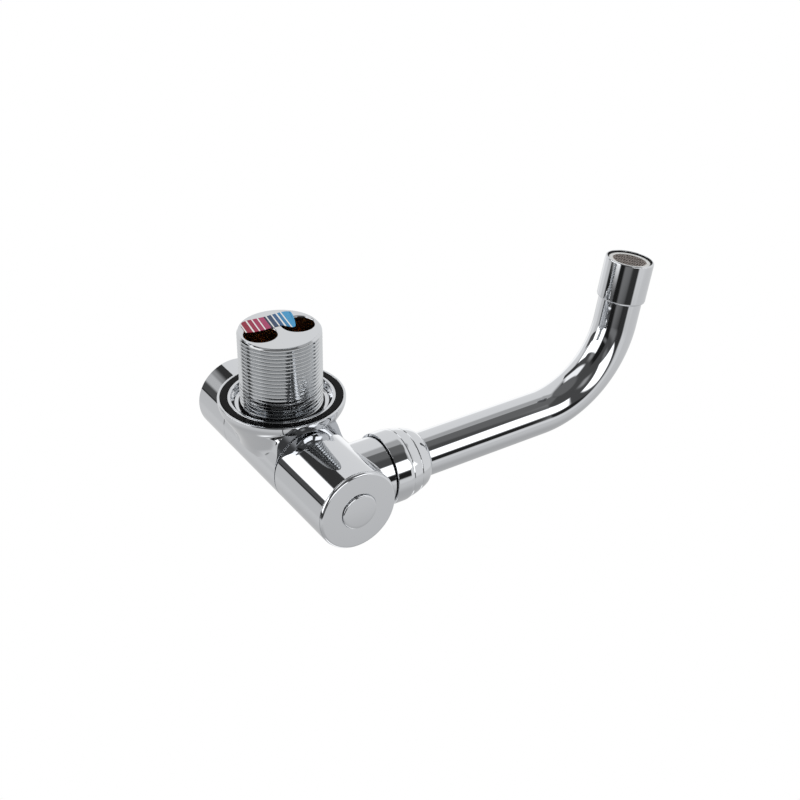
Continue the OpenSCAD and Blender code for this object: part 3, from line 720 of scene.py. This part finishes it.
# panels seen in the mirror:
# [from azimuth, to azimuth, softness, from height, to height, softness, lean, brightness]
# azimuth runs from the barrel's X towards -Y, height is measured downwards in the part's frame,
# lean is added azimuth per height, and a later panel covers an earlier one
room = {"walls": 0.92, "dark": 0.085, "darkCentre": (-55.0, 25.0), "darkEdge": (96.0, 80.0), "others": 0.65,
    "panels": [
        [-400, 400, 5, 68, 100, 4, 0, 0.17],
        [-175, -100, 8, 48, 67, 3, 0, 1.3],
        [50, 95, 6, 46, 67, 3, 0, 0.17],
        [95, 125, 6, 48, 67, 3, 0, 0.5],
        [120, 182, 8, -20, 2, 6, 0, 1.25],
        [-400, 400, 5, -100, -23, 3, 0, 0.74],
        [-400, 400, 5, -100, -42, 12, 0, 0.54],
        [-400, 400, 5, -100, -72, 5, 0, 1.5],
        [-130, -98, 4, -24, -8, 2, 0, 0.02],
        [-96, -84, 3, -22, -12, 3, 0, 0.25],
        [-82, -57, 3, -24, 40, 6, 0, 0.015],
        [-76, -58, 4, 3, 8, 2, 0, 0.2],
        [-60, 0, 4, -24, -15, 3, 0, 0.03],
        [-60, -26, 5, -15, -4, 4, 0, 0.22],
        [-42, -28, 4, 7, 16, 4, 0, 0.22],
        [-25, -5, 6, 33, 46, 6, 0, 0.42],
        [-104, -84, 8, 28, 40, 6, 0, 0.35],
        [-20, 8, 5, -22, -8, 2, 0, 0.04],
        [5, 34, 4, -24, -14, 3, 0, 0.85],
        [22, 36, 2, -12, 3, 2, 0, 0.02],
        [-185, -146, 4, 33, 48, 3, 0, 0.045],
        [-152, -132, 4, -27, -3, 2, 0, 0.7],
        [-158, -130, 3, -3.0, 11, 1.5, 0, 0.09],
        [-152, -130, 3, -3.4, -1.2, 0.8, 0, 0.01],
        [-158, -139, 2, 13, 28, 2.5, 0, 0.62],
        [-131, -82, 3, -9, 28, 2, 0, 2.1],
        [-132.5, -108, 1.2, 9.0, 33, 1.5, 0.63, 2.1],
        [-22, 14, 2, -7, 20, 2, 0.3, 2.1],
        [26, 52, 2, 6, 34, 2, 0.3, 2.1],
    ]}


def softStep(tree, value, edge, soft, before, after):
    return addNode(tree, "ShaderNodeMapRange", {"Value": value, "From Min": edge - soft,
        "From Max": edge + soft, "To Min": before, "To Max": after},
        interpolation_type="SMOOTHSTEP").outputs[0]


def bandMask(tree, value, low, high, soft):
    rise = softStep(tree, value, low, soft, 0.0, 1.0)
    fall = softStep(tree, value, high, soft, 1.0, 0.0)
    return calculated(tree, "MULTIPLY", rise, fall)


def mixedLevel(tree, share, first, second):
    return addNode(tree, "ShaderNodeMix", {0: share, 2: first, 3: second}, data_type="FLOAT").outputs[0]


# white walls that fade to dark round one direction
def shadedWalls(tree, direction):
    azimuth, height = (radians(a) for a in room["darkCentre"])
    centre = (cos(height) * cos(azimuth), -cos(height) * sin(azimuth), -sin(height))
    near = addNode(tree, "ShaderNodeVectorMath", {0: direction, 1: centre}, operation="DOT_PRODUCT")
    return addNode(tree, "ShaderNodeMapRange", {"Value": near.outputs["Value"],
        "From Min": cos(radians(room["darkEdge"][0])), "From Max": cos(radians(room["darkEdge"][1])),
        "To Min": room["walls"], "To Max": room["dark"]}, interpolation_type="SMOOTHSTEP").outputs[0]


def makeRoom():
    world = bpy.data.worlds.new("room")
    bpy.context.scene.world = world
    world.use_nodes = True
    tree = world.node_tree
    tree.nodes.clear()
    direction = addNode(tree, "ShaderNodeTexCoord").outputs["Generated"]
    axes = addNode(tree, "ShaderNodeSeparateXYZ", {0: direction})
    minusY = calculated(tree, "MULTIPLY", axes.outputs["Y"], -1.0)
    minusZ = calculated(tree, "MULTIPLY", axes.outputs["Z"], -1.0)
    azimuth = calculated(tree, "DEGREES", calculated(tree, "ARCTAN2", minusY, axes.outputs["X"]))
    height = calculated(tree, "DEGREES", calculated(tree, "ARCSINE", minusZ))
    level = shadedWalls(tree, direction)
    for azLow, azHigh, azSoft, low, high, soft, lean, bright in room["panels"]:
        leaning = calculated(tree, "MULTIPLY_ADD", height, lean, azimuth)
        sideways = bandMask(tree, leaning, azLow, azHigh, azSoft)
        upwards = bandMask(tree, height, low, high, soft)
        level = mixedLevel(tree, calculated(tree, "MULTIPLY", sideways, upwards), level, bright)
    rays = addNode(tree, "ShaderNodeLightPath")
    mirrored = mixedLevel(tree, rays.outputs["Is Glossy Ray"], room["others"], level)
    shown = mixedLevel(tree, rays.outputs["Is Camera Ray"], mirrored, 1.0)
    background = addNode(tree, "ShaderNodeBackground", {"Color": shown})
    output = addNode(tree, "ShaderNodeOutputWorld")
    tree.links.new(background.outputs[0], output.inputs["Surface"])


makeRoom()

# soft lamps for the seals, the sticker and the floor; the mirror doesn't show them
lampTarget = Vector((0.0, -0.05, 0.0))
lamps = (("softAbove", (0.25, 0.3, 0.9), 0.7, 3.2), ("softBelow", (0.5, 0.5, -0.7), 0.6, 2.4))
for name, spot, size, power in lamps:
    light = bpy.data.lights.new(name, "AREA")
    light.size = size
    light.energy = power
    lamp = bpy.data.objects.new(name, light)
    bpy.context.scene.collection.objects.link(lamp)
    lamp.location = spot
    lamp.rotation_euler = (lampTarget - Vector(spot)).to_track_quat("-Z", "Y").to_euler()
    lamp.visible_glossy = False

bpy.context.scene.view_settings.view_transform = "Standard"
view = bpy.data.cameras.new("view")
view.lens = 56.993
view.sensor_width = 36.0
view.clip_start = 0.01
camera = bpy.data.objects.new("view", view)
bpy.context.scene.collection.objects.link(camera)
camera.location = (0.369281, 0.196110, -0.250787)
camera.rotation_euler = [radians(a) for a in (-121.2505, 1.0103, -56.4105)]
bpy.context.scene.camera = camera
print("room made")
